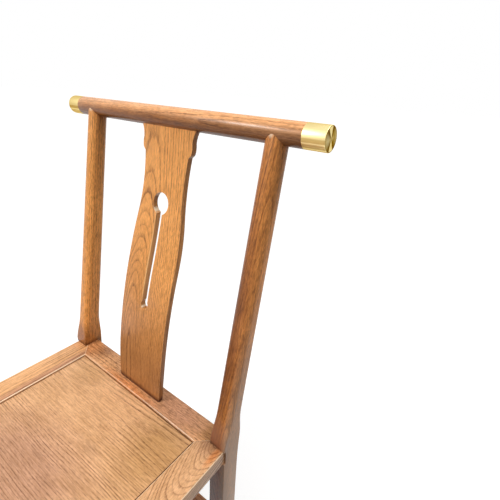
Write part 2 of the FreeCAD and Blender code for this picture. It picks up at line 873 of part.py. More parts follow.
def make_crest_rail():
    """Crest rail: turned bar with a spigot at each end, bored for the posts and the splat."""
    rail = new_body("crest_rail")
    spigot_end = cap_bore_end - size("cap_glue_gap")
    spigot_radius = cap_bore_radius - size("cap_glue_gap")
    right_side = [
        (spigot_end, ZERO),
        (spigot_end, spigot_radius),
        (cap_mouth, spigot_radius),
        (cap_mouth, crest_radius),
    ]
    profile = turning_sketch(rail, "profile")
    draw_outline(profile, *both_sides(right_side, {}))
    revolve(rail, "Revolution", "turned_bar", profile, "H_Axis")
    for side, leg_x in (("right", leg_middle), ("left", -leg_middle)):
        bore = sketch_across_post(rail, f"{side}_post_bore_circle", leg_x)
        draw_circle(bore, ZERO, ZERO, post_tenon_radius)
        pocket(rail, f"{side}_post_bore", bore, post_tenon_length + end_gap, backwards=True)
    mortise_x = grow(splat_head_x, size("mortise_ease"))
    mortise_y = grow(splat_head_y, size("mortise_ease"))
    mortise_levels = (crest_underside - overrun, splat_top + end_gap)
    cut_block(rail, "splat_mortise", mortise_x, mortise_y, mortise_levels)
    return rail


def make_brass_cap_right():
    """Brass cap: a turned cup with a bevelled rim, glued on the crest rail's spigot."""
    cap = new_body("brass_cap_right")
    bevel = size("cap_edge_bevel")
    cup = [
        (cap_mouth, cap_bore_radius),
        (cap_bore_end, cap_bore_radius),
        (cap_bore_end, ZERO),
        (crest_end, ZERO),
        (crest_end, crest_radius - bevel),
        (crest_end - bevel, crest_radius),
        (cap_mouth, crest_radius),
    ]
    profile = turning_sketch(cap, "profile")
    draw_outline(profile, cup)
    revolve(cap, "Revolution", "turned_cup", profile, "H_Axis")
    return cap


# Back splat, seen from the side: its front face is two tangent arcs, foot to bend to head.
splat_thickness = size("splat_thickness")
splat_foot = (-size("splat_front_setback"), ZERO)
splat_bend = (size("splat_bend_setback"), size("splat_bend_height"))
splat_head = (
    size("crest_setback") - splat_thickness / 2 - size("splat_head_lead"),
    crest_underside + size("splat_head_seat"),
)
splat_top = crest_underside + size("splat_head_tenon")

# How much steeper the board leans at its bend than the mean of its two straight chords.
SPLAT_BEND_LEAN_SHARE = 1.5
lower_lean = (splat_bend[0] - splat_foot[0]) / splat_bend[1]
upper_lean = (splat_head[0] - splat_bend[0]) / (splat_head[1] - splat_bend[1])
bend_lean = (lower_lean + upper_lean) / 2 * SPLAT_BEND_LEAN_SHARE
bend_hypotenuse = root(bend_lean * bend_lean + 1)
bend_normal = (as_size(1) / bend_hypotenuse, -bend_lean / bend_hypotenuse)


def splat_arc(end, side):
    """Radius and centre of the arc from bend to end, centred behind (1) or in front (-1)."""
    across = end[0] - splat_bend[0]
    along = end[1] - splat_bend[1]
    towards_centre = (across * bend_normal[0] + along * bend_normal[1]) * side
    radius = (across * across + along * along) / (towards_centre * 2)
    centre = tuple(splat_bend[i] + bend_normal[i] * radius * side for i in range(2))
    return radius, centre


lower_radius, lower_centre = splat_arc(splat_foot, 1)
upper_radius, upper_centre = splat_arc(splat_head, -1)
lower_back_radius = lower_radius - splat_thickness
upper_back_radius = upper_radius + splat_thickness
foot_rise_to_centre = splat_foot[1] - lower_centre[1]
head_rise_to_centre = splat_head[1] - upper_centre[1]
splat_foot_back = lower_centre[0] - root(
    lower_back_radius * lower_back_radius - foot_rise_to_centre * foot_rise_to_centre
)
splat_head_back = upper_centre[0] + root(
    upper_back_radius * upper_back_radius - head_rise_to_centre * head_rise_to_centre
)
splat_foot_y = (splat_foot[0], splat_foot_back)
splat_head_y = (splat_head[0], splat_head_back)
splat_foot_half = size("splat_foot_width") / 2
splat_head_half = size("splat_head_width") / 2
splat_foot_x = grow((-splat_foot_half, splat_foot_half), -size("splat_foot_shoulder"))
splat_head_x = (-splat_head_half, splat_head_half)

# Where the outline turns from its bulge into its waist, as a share of both drop and length.
SPLAT_TAPER_TURN_SHARE = 0.55


def sweep_radius(narrow, wide, length):
    """Radius of an arc that is upright at one end and moves sideways over a length."""
    spread = wide - narrow
    return (spread * spread + length * length) / (spread * 2)


def splat_outline():
    """The splat from the front: foot, straight sides, waist, cusp, lobe and flared head."""
    full = size("splat_width") / 2
    waist = size("splat_waist_width") / 2
    cusp = size("splat_cusp_width") / 2
    lobe = size("splat_lobe_width") / 2
    neck = size("splat_neck_width") / 2
    neck_level = crest_underside - size("splat_flare_length")
    lobe_level = neck_level - size("splat_lobe_length")
    cusp_level = lobe_level - size("splat_cusp_rise")
    waist_level = cusp_level - size("splat_waist_length")
    taper_level = waist_level - size("splat_taper_length")
    turn = full - (full - waist) * SPLAT_TAPER_TURN_SHARE
    turn_level = taper_level + size("splat_taper_length") * SPLAT_TAPER_TURN_SHARE
    clear_top = splat_top + overrun / 2
    clear_foot = -size("splat_foot_tenon") - overrun / 2
    right_side = [
        (splat_foot_x[1], clear_foot),
        (splat_foot_x[1], ZERO),
        (splat_foot_half, ZERO),
        (full, size("splat_foot_rise")),
        (full, taper_level),
        (turn, turn_level),
        (waist, waist_level),
        (cusp, cusp_level),
        (lobe, lobe_level),
        (neck, neck_level),
        (splat_head_half, crest_underside),
        (splat_head_half, clear_top),
    ]
    right_arcs = {
        2: (sweep_radius(splat_foot_half, full, size("splat_foot_rise")), 1),
        4: (sweep_radius(turn, full, turn_level - taper_level), 1),
        5: (sweep_radius(waist, turn, waist_level - turn_level), -1),
        6: (sweep_radius(waist, cusp, size("splat_waist_length")), -1),
        8: (size("splat_lobe_radius"), 1),
        9: (sweep_radius(neck, splat_head_half, size("splat_flare_length")), -1),
    }
    return both_sides(right_side, right_arcs)


def make_back_splat():
    """Back splat: a board bent to an S, its outline sawn from the front, drilled and slotted."""
    splat = new_body("back_splat")
    bend_back = tuple(splat_bend[i] + bend_normal[i] * splat_thickness for i in range(2))
    foot_end = -size("splat_foot_tenon")
    board = [
        (splat_foot[0], foot_end),
        (splat_foot_back, foot_end),
        (splat_foot_back, ZERO),
        bend_back,
        (splat_head_back, splat_head[1]),
        (splat_head_back, splat_top),
        (splat_head[0], splat_top),
        splat_head,
        splat_bend,
        splat_foot,
    ]
    board_arcs = {
        2: (lower_back_radius, -1),
        3: (upper_back_radius, 1),
        7: (upper_radius, -1),
        8: (lower_radius, 1),
    }
    side_view = new_sketch(splat, "side_view", "YZ_Plane", -splat_head_half)
    draw_outline(side_view, board, board_arcs)
    pad(splat, "bent_board", side_view, size("splat_head_width"))

    # All saw cuts and holes run straight back through the bent board.
    cut_front = size("splat_front_setback") + overrun
    cut_depth = cut_front + size("crest_setback") + crest_radius
    waste_x = grow(splat_head_x, overrun)
    waste_z = grow((foot_end, splat_top), overrun)
    front_view = new_sketch(splat, "front_view", "XZ_Plane", cut_front)
    draw_outline(front_view, plan_corners(waste_x, waste_z))
    draw_outline(front_view, *splat_outline())
    pocket(splat, "sawn_outline", front_view, cut_depth)

    hole_level = crest_underside - size("splat_hole_drop")
    slot_level = size("splat_slot_height")
    for label, level, radius in (
        ("round_hole", hole_level, size("splat_hole_diameter") / 2),
        ("slot_end", slot_level, size("splat_slot_end_diameter") / 2),
    ):
        circle = new_sketch(splat, f"{label}_circle", "XZ_Plane", cut_front)
        draw_circle(circle, ZERO, level, radius)
        pocket(splat, label, circle, cut_depth)
    slot = new_sketch(splat, "slot_outline", "XZ_Plane", cut_front)
    slot_x = span_about(ZERO, size("splat_slot_width"))
    draw_outline(slot, plan_corners(slot_x, (slot_level, hole_level)))
    pocket(splat, "slot", slot, cut_depth)
    return splat


pieces = [
    make_crest_rail(),
    make_back_splat(),
    make_seat_rail_back(),
    make_seat_rail_front(),
    make_seat_panel(),
    make_apron_front(),
    make_lower_rail(
        "footrest_stretcher", "x", (-front_leg_inner, front_leg_inner), footrest_y, footrest_levels
    ),
    make_lower_rail(
        "stretcher_back", "x", (-leg_inner, leg_inner), back_stretcher_y, back_stretcher_levels
    ),
]
right_hand_pieces = [
    make_brass_cap_right(),
    make_rear_leg_right(),
    make_seat_rail_right(),
    make_seat_batten_right(),
    make_front_leg_right(),
    make_lower_rail(
        "stretcher_right", "y", side_stretcher_x,
        (front_leg_back, rear_leg_front), side_stretcher_levels,
    ),
]
for piece in right_hand_pieces:
    pieces.append(piece)
    pieces.append(mirror_piece(piece, piece.Label.replace("_right", "_left")))
doc.recompute()

for member in doc.Objects:
    if "Invalid" in member.State or "Error" in member.State:
        raise RuntimeError(f"{member.Label} failed to build: {member.State}")
os.makedirs("parts", exist_ok=True)
for piece in pieces:
    if piece.Shape.isNull() or not piece.Shape.isValid() or len(piece.Shape.Solids) != 1:
        raise RuntimeError(f"{piece.Label} is not one sound solid")
for piece in pieces:
    piece.Shape.exportStep(f"parts/{piece.Label}.step")
    box = piece.Shape.BoundBox
    print(f"{piece.Label}: {box.XLength:.1f} x {box.YLength:.1f} x {box.ZLength:.1f} mm")
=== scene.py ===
import math

import bpy
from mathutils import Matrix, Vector


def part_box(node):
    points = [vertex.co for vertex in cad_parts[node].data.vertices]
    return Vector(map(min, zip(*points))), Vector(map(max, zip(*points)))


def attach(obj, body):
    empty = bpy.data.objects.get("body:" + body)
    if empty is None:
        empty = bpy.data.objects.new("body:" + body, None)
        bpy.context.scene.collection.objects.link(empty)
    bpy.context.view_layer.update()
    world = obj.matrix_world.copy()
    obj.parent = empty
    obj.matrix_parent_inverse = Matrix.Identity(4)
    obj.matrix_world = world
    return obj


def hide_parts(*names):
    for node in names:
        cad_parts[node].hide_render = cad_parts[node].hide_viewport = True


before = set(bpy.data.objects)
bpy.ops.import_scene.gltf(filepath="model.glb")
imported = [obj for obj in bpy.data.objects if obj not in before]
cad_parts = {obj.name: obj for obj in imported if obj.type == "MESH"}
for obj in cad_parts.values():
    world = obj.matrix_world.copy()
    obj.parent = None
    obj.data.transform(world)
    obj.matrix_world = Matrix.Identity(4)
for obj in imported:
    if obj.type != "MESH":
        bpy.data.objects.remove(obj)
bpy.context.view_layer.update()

# Seat frame: four ash rails, mitred and tenoned at the corners and grooved inside for the panel.
# They are planed and their arrises eased with sandpaper; stain and a satin lacquer go on last.
SAME_POINT = 1e-6
FLAT_ANGLE = math.radians(0.5)
ARRIS_ANGLE = math.radians(35)
ARRIS_STEPS = 3


def select_only(piece):
    """Deselect everything, then make this piece the one that operators work on."""
    bpy.ops.object.select_all(action="DESELECT")
    piece.select_set(True)
    bpy.context.view_layer.objects.active = piece


def merged(node, name):
    """A copy of the node's own shape as one whole mesh, which stands for the node."""
    piece = bpy.data.objects.new(name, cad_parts[node].data.copy())
    bpy.context.scene.collection.objects.link(piece)
    select_only(piece)
    bpy.ops.mesh.customdata_custom_splitnormals_clear()
    bpy.ops.object.mode_set(mode="EDIT")
    bpy.ops.mesh.select_all(action="SELECT")
    bpy.ops.mesh.remove_doubles(threshold=SAME_POINT)
    bpy.ops.mesh.dissolve_limited(angle_limit=FLAT_ANGLE)
    bpy.ops.object.mode_set(mode="OBJECT")
    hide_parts(node)
    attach(piece, "root")
    return piece


def ease_arrises(piece, ease):
    """Round every sharp edge of a piece by this much, as sandpaper does."""
    select_only(piece)
    arris = piece.modifiers.new("eased arris", "BEVEL")
    arris.width = ease
    arris.segments = ARRIS_STEPS
    arris.limit_method = "ANGLE"
    arris.angle_limit = ARRIS_ANGLE
    bpy.ops.object.modifier_apply(modifier=arris.name)
    bpy.ops.object.shade_smooth_by_angle(angle=ARRIS_ANGLE)


def eased(node, ease, name):
    """The node's own shape with its sharp edges eased."""
    piece = merged(node, name)
    ease_arrises(piece, ease)
    return piece


class Shade:
    """A value in a node tree, so that shader maths reads as plain expressions."""

    def __init__(self, tree, socket=None):
        self.tree = tree
        self.socket = socket

    def node(self, kind, settings, inputs, output=0):
        """Add a node: its settings first, then the values or links of its sockets."""
        added = self.tree.nodes.new(kind)
        for name, setting in settings.items():
            if name == "stops":
                elements = added.color_ramp.elements
                while len(elements) < len(setting):
                    elements.new(1)
                for element, (position, level) in zip(elements, setting):
                    element.position = position
                    element.color = (level, level, level, 1)
            else:
                setattr(added, name, setting)
        for name, value in inputs.items():
            if isinstance(value, Shade):
                self.tree.links.new(value.socket, added.inputs[name])
            else:
                added.inputs[name].default_value = value
        return Shade(self.tree, added.outputs[output] if added.outputs else None)

    def maths(self, operation, *values):
        """A Math node that works on these numbers."""
        return self.node("ShaderNodeMath", {"operation": operation}, dict(enumerate(values)))

    def __add__(self, other):
        return self.maths("ADD", self, other)

    def __sub__(self, other):
        return self.maths("SUBTRACT", self, other)

    def __rsub__(self, other):
        return self.maths("SUBTRACT", other, self)

    def __mul__(self, other):
        return self.maths("MULTIPLY", self, other)

    def __truediv__(self, other):
        return self.maths("DIVIDE", self, other)

    def __rtruediv__(self, other):
        return self.maths("DIVIDE", other, self)

    __radd__ = __add__
    __rmul__ = __mul__

    def largest(self, first, second, third):
        """The largest of three numbers."""
        return self.maths("MAXIMUM", self.maths("MAXIMUM", first, second), third)

    def ramp(self, *stops):
        """The number read through a ramp of (position, level) stops."""
        return self.node("ShaderNodeValToRGB", {"stops": stops}, {"Fac": self})

    def vector(self, operation, *values, output="Vector"):
        """A Vector Math node that works on these places or directions."""
        inputs = dict(enumerate(values))
        return self.node("ShaderNodeVectorMath", {"operation": operation}, inputs, output)

    def along(self, axis):
        """A vector's share along X, Y or Z, for an axis of 0, 1 or 2."""
        return self.node("ShaderNodeSeparateXYZ", {}, {"Vector": self}, axis)

    def noise(self, place, cells, detail=2.0, roughness=0.55, output=0):
        """Noise with this many cells to the metre along each axis."""
        stretched = self.vector("MULTIPLY", place, cells)
        inputs = {"Vector": stretched, "Scale": 1, "Detail": detail, "Roughness": roughness}
        return self.node("ShaderNodeTexNoise", {}, inputs, output)

    def unrest(self):
        """Noise along a number, with a cell to each whole one."""
        return self.node("ShaderNodeTexNoise", {"noise_dimensions": "1D"}, {"W": self, "Scale": 1})

    def drift(self, place, cells, reach):
        """The place moved about by up to reach, by smooth noise."""
        wander = self.noise(place, cells, output="Color")
        wander = self.vector("SUBTRACT", wander, (0.5, 0.5, 0.5))
        return self.vector("ADD", place, self.vector("MULTIPLY", wander, (reach * 2,) * 3))

    def cloud(self, place, centre, reach):
        """One round a centre, fading to nothing at this reach along each axis."""
        away = self.vector("DIVIDE", self.vector("SUBTRACT", place, centre), reach)
        return self.vector("LENGTH", away, output="Value").ramp((0.35, 1), (1, 0))

    def mix(self, factor, first, second, blend="MIX"):
        """One colour over another, by a factor; a Mix node's colour sockets are 6, 7 and 2."""
        settings = {"data_type": "RGBA", "blend_type": blend}
        return self.node("ShaderNodeMix", settings, {0: factor, 6: first, 7: second}, 2)


def emptied(owner):
    """Clear the nodes of a material or a world, and give the Shade that adds new ones."""
    owner.use_nodes = True
    owner.node_tree.nodes.clear()
    return Shade(owner.node_tree)


def colour(red, green, blue):
    """A display colour from 0 to 255 as the linear light that shaders use."""
    return tuple(((level / 255 + 0.055) / 1.055) ** 2.4 for level in (red, green, blue)) + (1,)


# Stain colours for lines, pores and deep stain; they also serve as painted shade, the pale one as
# painted highlight.
LINE_STAIN_AND_SHADE = colour(116, 60, 22)
PORE_STAIN_AND_SHADE = colour(74, 34, 12)
DUSK_SHADE_AND_STAIN = colour(190, 186, 190)
RUBBED_AND_HIGHLIGHT = colour(255, 230, 196)

# Where the stain lies thick it takes more blue out of the light than red.
THICK_STAIN = 0.78
THIN_STAIN = 1.28
STAIN_DEPTHS = (0.85, 1.0, 1.35)


def toned(stain, share):
    """The stain laid on thinner, above one, or thicker and so redder, below one."""
    return tuple(level * share**depth for level, depth in zip(stain, STAIN_DEPTHS)) + (1,)


# A year's growth starts with dark spring wood and fades into plain summer wood. The years differ
# in how strong their lines are, and their width wavers with this pace and spread.
YEAR_LINE = ((0, 0), (0.08, 1), (0.22, 0.5), (0.4, 0), (1, 0))
WEAKEST_LINE = 0.3
YEAR_PACE = 0.35
YEAR_SPREAD = 1.2

# Cells of noise to the metre in the log, twice across the grain and then along it.
SWAY_CELLS = (11, 11, 3.5)
RIPPLE_CELLS = (70, 70, 16)
RIPPLE_REACH = 0.0007
FADE_CELLS = (26, 26, 6)
PORE_CELLS = (900, 900, 150)
DASH_CELLS = (480, 480, 90)
FIBRE_CELLS = (420, 420, 20)


def year_lines(log, ring, sway):
    """The dark lines of the yearly rings, which wander round the heart and differ in strength."""
    rings = log.drift(log.drift(log, SWAY_CELLS, sway), RIPPLE_CELLS, RIPPLE_REACH)
    across = log.vector("MULTIPLY", rings, (1, 1, 0))
    growth = log.vector("LENGTH", across, output="Value") / ring
    growth = growth + (growth * YEAR_PACE).unrest() * YEAR_SPREAD
    year = {"W": log.maths("FLOOR", growth)}
    vigour = log.node("ShaderNodeTexWhiteNoise", {"noise_dimensions": "1D"}, year)
    line = log.maths("FRACT", growth).ramp(*YEAR_LINE)
    return line * (WEAKEST_LINE + (1 - WEAKEST_LINE) * vigour)


# The stain clouds over and smudges without regard to the grain.
TONE_CELLS = (15, 15, 11)
SMUDGE_CELLS = (40, 40, 40)
SMUDGE_REACH = 0.008
CRISP_REACH = 0.015
CALM_LINES = 0.15
FINE_PORES = 0.7
DARKEST_PORES = 0.8
PORE_RELIEF = 0.3
PORE_DEPTH = 0.0001


def stained_ash(name, heart, grain, ground, ring=0.0042, sway=0.006, lines=0.8, calm=None,
                fleck=0.2, patches=(), painted_shade_facing=None, rubbed_and_highlit=0.0, gap_stain_and_shade=None):
    """Ring-porous ash from a log whose heart runs through a point, stained over a ground colour.

    ring, sway: the width of a year's growth, and how far the rings wander
    lines, fleck: how dark the lines are, and the open pores between them
    calm: the centre and reach of a place where the lines fade
    patches: soft clouds of stain, painted shade, painted highlight and painted light, each a
    centre, a reach, a colour and a strength, multiplied over the rest unless a fifth entry
    names another blend
    painted_shade_facing: the direction of the faces darkened by painted shade, and how much
    rubbed_and_highlit: how much lighter the arrises are, by painted highlight and worn stain
    gap_stain_and_shade: the centre, half size and width of a dark line inside a rectangle's edge,
    stain collected along a gap with painted shade in it
    """
    material = bpy.data.materials.new(name)
    wood = emptied(material)
    place = wood.node("ShaderNodeTexCoord", {}, {}, "Object")
    facing = wood.node("ShaderNodeTexCoord", {}, {}, "Normal")
    turn = Vector(grain).to_track_quat("Z", "Y").to_euler()
    log = wood.node(
        "ShaderNodeMapping", {"vector_type": "TEXTURE"},
        {"Vector": place, "Location": heart, "Rotation": turn},
    )
    line = year_lines(log, ring, sway)
    fade = wood.noise(log, FADE_CELLS).ramp((0.3, 0.25), (0.6, 1))
    smudged = wood.drift(place, SMUDGE_CELLS, SMUDGE_REACH)
    if calm:
        fade = fade * wood.cloud(smudged, *calm).ramp((0, 1), (1, CALM_LINES))

    # Open pores crowd along the rings as short dashes; fibres streak the wood between them.
    pores = wood.noise(log, PORE_CELLS, 1.5).ramp((0.46, 0), (0.62, 1))
    dashes = wood.noise(log, DASH_CELLS, 1.0).ramp((0.5, 0), (0.6, 1))
    open_grain = wood.maths("MAXIMUM", pores * FINE_PORES, dashes)
    fibres = wood.noise(log, FIBRE_CELLS).ramp((0.35, 0), (0.65, 0.6))
    clouds = wood.noise(place, TONE_CELLS).ramp((0.3, 0), (0.7, 0.4))
    colours = wood.mix(clouds + fibres, toned(ground, THICK_STAIN), toned(ground, THIN_STAIN))
    colours = wood.mix(line * fade * lines, colours, LINE_STAIN_AND_SHADE)
    darkness = fleck + (DARKEST_PORES - fleck) * line * fade
    colours = wood.mix(open_grain * darkness, colours, PORE_STAIN_AND_SHADE)

    # Painted shade on the faces that look one way.
    if painted_shade_facing:
        direction, strength = painted_shade_facing
        towards = wood.vector("DOT_PRODUCT", facing, direction, output="Value")
        colours = wood.mix(towards.ramp((0.1, 0), (0.8, strength)), colours, DUSK_SHADE_AND_STAIN, "MULTIPLY")
    # Patches of stain, and of painted shade, painted highlight and painted light.
    for centre, reach, stain, strength, *blend in patches:
        cloud = wood.cloud(place if min(reach) < CRISP_REACH else smudged, centre, reach)
        colours = wood.mix(cloud * strength, colours, stain, *blend or ["MULTIPLY"])
    # Lighter arrises: painted highlight, and stain worn thin at the edges.
    if rubbed_and_highlit:
        squared = wood.vector("MULTIPLY", facing, facing)
        flatness = wood.largest(squared.along(0), squared.along(1), squared.along(2))
        colours = wood.mix(flatness.ramp((0.62, rubbed_and_highlit), (0.8, 0)), colours, RUBBED_AND_HIGHLIGHT)
    # A dark line inside a rectangle's edge: stain collected along a gap, and painted shade in it.
    if gap_stain_and_shade:
        centre, half_size, width = gap_stain_and_shade
        away = wood.vector("ABSOLUTE", wood.vector("SUBTRACT", place, centre))
        margin = wood.vector("SUBTRACT", half_size, away)
        nearest = wood.maths("MINIMUM", margin.along(0), margin.along(1))
        colours = wood.mix((nearest / width).ramp((0.4, 0.9), (1, 0)), colours, PORE_STAIN_AND_SHADE)

    height = open_grain * (0.3 + line) * -1.0
    relief = {"Strength": PORE_RELIEF, "Distance": PORE_DEPTH, "Height": height}
    surface = wood.node(
        "ShaderNodeBsdfPrincipled", {},
        {
            "Base Color": colours,
            "Roughness": 0.34 + 0.16 * line,
            "Specular IOR Level": 0.25,
            "Coat Weight": 0.12,
            "Coat Roughness": 0.22,
            "Normal": wood.node("ShaderNodeBump", {}, relief),
        },
    )
    wood.node("ShaderNodeOutputMaterial", {}, {"Surface": surface})
    return material


def finish_wood(piece, material):
    """Stain and lacquer one wooden piece."""
    piece.data.materials.clear()
    piece.data.materials.append(material)


LEFT_RAIL_GROUND = colour(230, 174, 120)
RIGHT_RAIL_GROUND = colour(211, 161, 114)
BACK_RAIL_GROUND = colour(216, 158, 108)
ORANGE = colour(255, 205, 150)
MAUVE = colour(224, 219, 234)
UMBER_STAIN_AND_SHADE = colour(192, 180, 176)
OLIVE = colour(220, 214, 188)

# Each rail is sawn from its own stick, and its stain lies in patches along the top face.
rail_woods = {
    "seat_rail_left": stained_ash(
        "left_rail_ash", (-0.16, 0.0, 0.40), (0.02, 1, 0.02), LEFT_RAIL_GROUND,
        # Cool along the inner edge, and warmer at the back corner.
        patches=[
            ((-0.176, 0.0, 0.45), (0.012, 0.5, 0.05), MAUVE, 1.0),
            ((-0.205, 0.15, 0.45), (0.05, 0.05, 0.05), ORANGE, 0.3),
        ],
        # Lighter arrises and lip: painted highlight, and stain worn thin.
        rubbed_and_highlit=1.0,
    ),
    "seat_rail_right": stained_ash(
        "right_rail_ash", (0.208, 0.19, 0.45), (0.0, 1, 0.28), RIGHT_RAIL_GROUND,
        ring=0.0030, sway=0.0045, lines=1.0, fleck=0.14,
        # Dark at the back corner, and warm in a strip along the outer edge.
        patches=[
            ((0.195, 0.135, 0.45), (0.035, 0.035, 0.04), UMBER_STAIN_AND_SHADE, 0.8),
            ((0.216, 0.118, 0.45), (0.008, 0.03, 0.02), ORANGE, 0.7),
        ],
        # Lighter arrises and lip: painted highlight, and stain worn thin.
        rubbed_and_highlit=0.8,
    ),
    "seat_rail_back": stained_ash(
        "back_rail_ash", (0.0, 0.18, 0.40), (1, 0.03, 0.02), BACK_RAIL_GROUND,
        calm=((0.11, 0.15, 0.45), (0.1, 0.05, 0.05)), fleck=0.4,
        # From left to right: warm, dark, warm along the inner edge, cool, and greener at the end.
        patches=[
            ((-0.19, 0.14, 0.45), (0.05, 0.05, 0.05), ORANGE, 0.4),
            ((-0.145, 0.15, 0.45), (0.028, 0.03, 0.05), UMBER_STAIN_AND_SHADE, 0.7),
            ((-0.02, 0.12, 0.45), (0.1, 0.018, 0.05), ORANGE, 0.6),
            ((0.10, 0.145, 0.45), (0.09, 0.05, 0.05), MAUVE, 0.9),
            ((0.19, 0.145, 0.45), (0.03, 0.03, 0.05), OLIVE, 0.9),
        ],
        # Lighter arrises and lip: painted highlight, and stain worn thin.
        rubbed_and_highlit=0.35,
    ),
    "seat_rail_front": stained_ash(
        "front_rail_ash", (0.05, -0.25, 0.39), (1, 0.03, -0.04), BACK_RAIL_GROUND,
    ),
}
RAIL_EASE = 0.0012
LIP_ROUNDING = 0.0026
LIP_STEPS = 4
IN_LINE = 0.0001
seat_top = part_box("seat_rail_left")[1].z
opening_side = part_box("seat_rail_right")[0].x
opening_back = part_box("seat_rail_back")[0].y


def round_lip(rail):
    """Round the rail's top edge along the panel's opening, so that it catches the light."""
    select_only(rail)
    mesh = rail.data
    for face in mesh.polygons:
        face.select = False
    for point in mesh.vertices:
        point.select = False
    for edge in mesh.edges:
        ends = [mesh.vertices[number].co for number in edge.vertices]
        at_top = all(abs(end.z - seat_top) < IN_LINE for end in ends)
        along_side = all(abs(abs(end.x) - opening_side) < IN_LINE for end in ends)
        along_end = all(abs(end.y - opening_back) < IN_LINE for end in ends)
        inside = all(abs(end.x) < opening_side + IN_LINE for end in ends)
        edge.select = at_top and (along_side or (along_end and inside))
    bpy.ops.object.mode_set(mode="EDIT")
    bpy.ops.mesh.select_mode(type="EDGE")
    bpy.ops.mesh.bevel(offset=LIP_ROUNDING, segments=LIP_STEPS)
    bpy.ops.object.mode_set(mode="OBJECT")


for node, ash in rail_woods.items():
    rail = merged(node, f"eased_{node}")
    round_lip(rail)
    ease_arrises(rail, RAIL_EASE)
    finish_wood(rail, ash)

# Seat panel: one floating board of flat-sawn ash, planed to lie a little below its frame.
# Its edges are tongued into the frame's grooves without glue, so that the board can swell.
PANEL_GROUND = colour(215, 165, 117)
PANEL_EASE = 0.0004
GAP_STAIN_AND_SHADE_WIDTH = 0.0026
seat_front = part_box("seat_rail_front")[0].y
seat_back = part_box("seat_rail_back")[1].y
seat_middle = (seat_front + seat_back) / 2
panel = eased("seat_panel", PANEL_EASE, "floating_panel")
finish_wood(
    panel,
    stained_ash(
        "panel_ash", (-0.1, 0.08, 0.40), (1, 0.03, 0.03), PANEL_GROUND,
        ring=0.0038, sway=0.007, lines=0.7,
        calm=((-0.06, 0.06, 0.447), (0.12, 0.09, 0.05)),
        # Cool in front, with a small darker spot, and greener at the right and the back left.
        patches=[
            ((-0.015, -0.10, 0.447), (0.2, 0.12, 0.05), MAUVE, 1.0),
            ((0.045, -0.001, 0.447), (0.022, 0.012, 0.03), DUSK_SHADE_AND_STAIN, 0.3),
            ((0.14, 0.06, 0.447), (0.09, 0.09, 0.05), OLIVE, 0.8),
            ((-0.12, 0.09, 0.447), (0.05, 0.03, 0.05), OLIVE, 0.4),
        ],
        # A dark line along the frame at the sides and the back: stain collected in the gap,
        # and painted shade there.
        gap_stain_and_shade=(
            (0, seat_middle, 0),
            (opening_side, opening_back - seat_middle, 1),
            GAP_STAIN_AND_SHADE_WIDTH,
        ),
    ),
)

# Front legs, apron, stretchers and battens: square sticks and boards of the same ash, on a
# darker ground that is painted shade, as they stand below the seat.
# The legs are tenoned into the frame from below, the apron and stretchers are let into the legs,
# and the battens are dovetailed across the panel's underside and let into the frame.
LOWER_SHADED_GROUND = colour(160, 106, 66)

# Each piece comes from its own log, whose heart lies just outside it, and has its own grain.
HEART_OFFSET = Vector((0.03, -0.03, -0.03))
LOWER_GRAIN = {
    "seat_batten_left": (0, 1, 0.02),
    "seat_batten_right": (0, 1, -0.03),
    "front_leg_left": (0.01, 0.01, 1),
    "front_leg_right": (0.01, -0.01, 1),
    "apron_front": (1, 0, 0.02),
    "footrest_stretcher": (1, 0.02, 0),
    "stretcher_left": (0, 1, 0.01),
    "stretcher_right": (0, 1, 0.02),
    "stretcher_back": (1, 0, 0.02),
}
for node, grain in LOWER_GRAIN.items():
    low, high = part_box(node)
    heart = (low + high) / 2 + HEART_OFFSET
    ash = stained_ash(f"{node}_ash", heart, grain, LOWER_SHADED_GROUND)
    finish_wood(eased(node, RAIL_EASE, f"eased_{node}"), ash)

# Rear legs: each is one stick of ash from the floor to the crest rail, and leans above the seat.
# It is square below, notched round the frame's corner, then planed round, and its top end is
# tenoned into the crest rail. Painted contact shade lies round its foot on the seat.
POST_GROUND = colour(244, 166, 87)
CHESTNUT_SHADE = colour(216, 188, 130)
